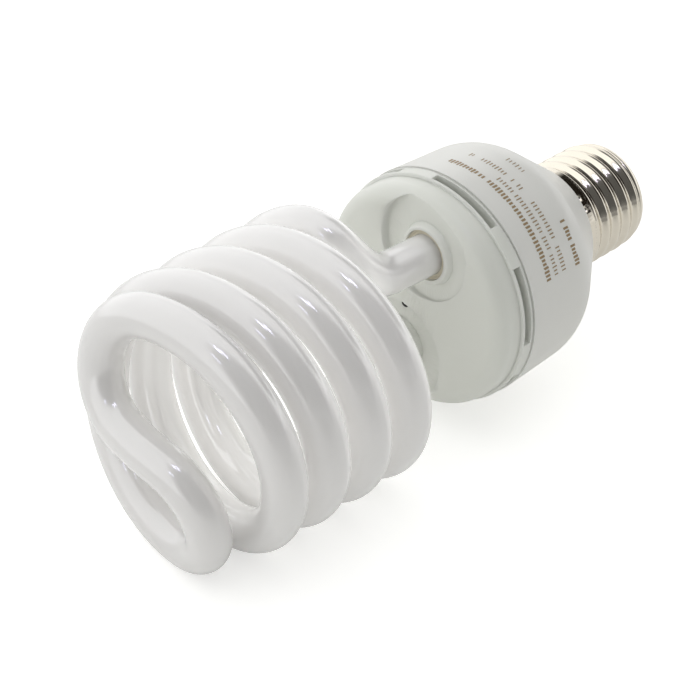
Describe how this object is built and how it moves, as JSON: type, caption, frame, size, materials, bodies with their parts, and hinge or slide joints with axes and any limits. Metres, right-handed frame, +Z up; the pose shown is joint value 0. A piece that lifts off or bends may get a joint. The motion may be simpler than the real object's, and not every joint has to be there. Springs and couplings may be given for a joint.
{
  "type": "compact fluorescent lamp",
  "caption": "Double-helix compact fluorescent lamp with a slotted round ballast housing and a medium screw cap.",
  "frame": {"origin": "on the lamp's axis, at the rim of the housing's neck, where the metal cap's plain skirt starts", "axes": "+X along the lamp's axis towards the cap's contact, +Z up as the lamp lies in the picture"},
  "size_m": [0.1529, 0.0622, 0.0622],
  "materials": {
    "glass_tube": "pearly white phosphor seen through clear glass, glossy",
    "cover_plastic": "moulded off-white plastic, satin",
    "housing_plastic": "moulded off-white plastic, satin",
    "cap_metal": "bright nickel plate",
    "black_glass": "black pressed insulator",
    "contact_metal": "tinned contact",
    "silicone": "white silicone",
    "board": "brown paper laminate",
    "ferrite": "dark grey ferrite",
    "nylon": "black moulded nylon",
    "copper": "enamelled copper wire",
    "can_metal": "aluminium can in a dark sleeve",
    "seal_rubber": "black rubber",
    "film_dip": "dark red dipped coating",
    "epoxy": "black moulded epoxy",
    "resistor_paint": "tan lacquer",
    "diac_glass": "blue lacquer on glass",
    "lead_metal": "bare wire",
    "wire_skin_red": "insulation",
    "wire_skin_black": "insulation"
  },
  "bodies": {
    "root": {"spiral_tube": "glass_tube", "tube_holder": "cover_plastic", "housing_cup": "housing_plastic", "screw_shell": "cap_metal", "cap_insulator": "black_glass", "centre_contact": "contact_metal", "leg_cement": "silicone", "circuit_board": "board", "choke_core": "ferrite", "choke_bobbin": "nylon", "choke_winding": "copper", "drive_toroid": "ferrite", "toroid_windings": "copper", "bulk_capacitor": "can_metal", "bulk_capacitor_seal": "seal_rubber", "resonance_capacitor": "film_dip", "coupling_capacitor": "film_dip", "switch_transistors": "epoxy", "rectifier_diodes": "epoxy", "input_choke": "ferrite", "input_choke_winding": "copper", "fuse_resistor": "resistor_paint", "small_resistors": "resistor_paint", "diac": "diac_glass", "wire_posts": "contact_metal", "tube_lead_wires": "lead_metal", "live_wire": "wire_skin_red", "neutral_wire": "wire_skin_black"}
  },
  "joints": []
}
